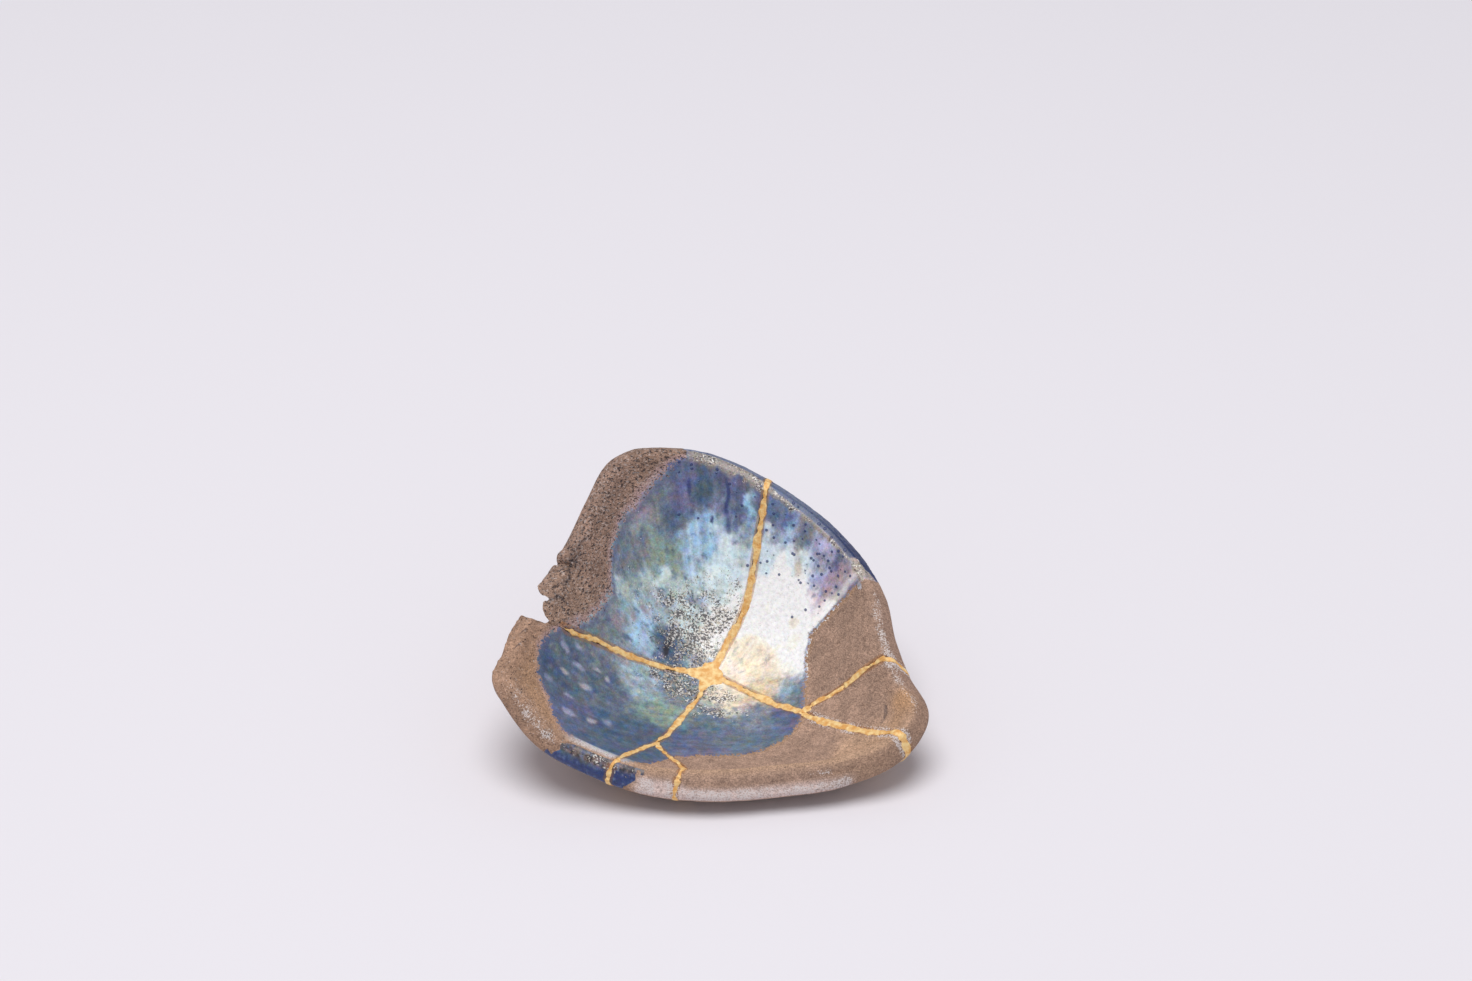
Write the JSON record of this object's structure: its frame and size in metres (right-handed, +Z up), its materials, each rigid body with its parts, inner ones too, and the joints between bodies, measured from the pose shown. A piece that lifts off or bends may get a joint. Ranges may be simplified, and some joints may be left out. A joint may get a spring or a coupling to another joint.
{
  "type": "kintsugi bowl",
  "caption": "Open shield-shaped stoneware bowl, high at the back with a low front lip, rejoined from shards with raised gold seams.",
  "frame": {"origin": "on the flat resting spot under the bowl, on the front right shard, at table height", "axes": "+Z up; +X from the left corner to the right corner, the longest extent; +Y from the low front lip to the high back"},
  "size_m": [0.1754, 0.1389, 0.0906],
  "materials": {
    "gold": "satin",
    "shard_back_left_clay": "satin",
    "shard_back_right_clay": "satin",
    "shard_front_left_clay": "satin",
    "shard_front_right_clay": "satin",
    "shard_front_wedge_clay": "matte",
    "shard_right_corner_clay": "matte"
  },
  "bodies": {
    "root": {"gold_mend": "gold", "shard_back_left": "shard_back_left_clay", "shard_back_right": "shard_back_right_clay", "shard_front_left": "shard_front_left_clay", "shard_front_right": "shard_front_right_clay", "shard_front_wedge": "shard_front_wedge_clay", "shard_right_corner": "shard_right_corner_clay"}
  },
  "joints": []
}
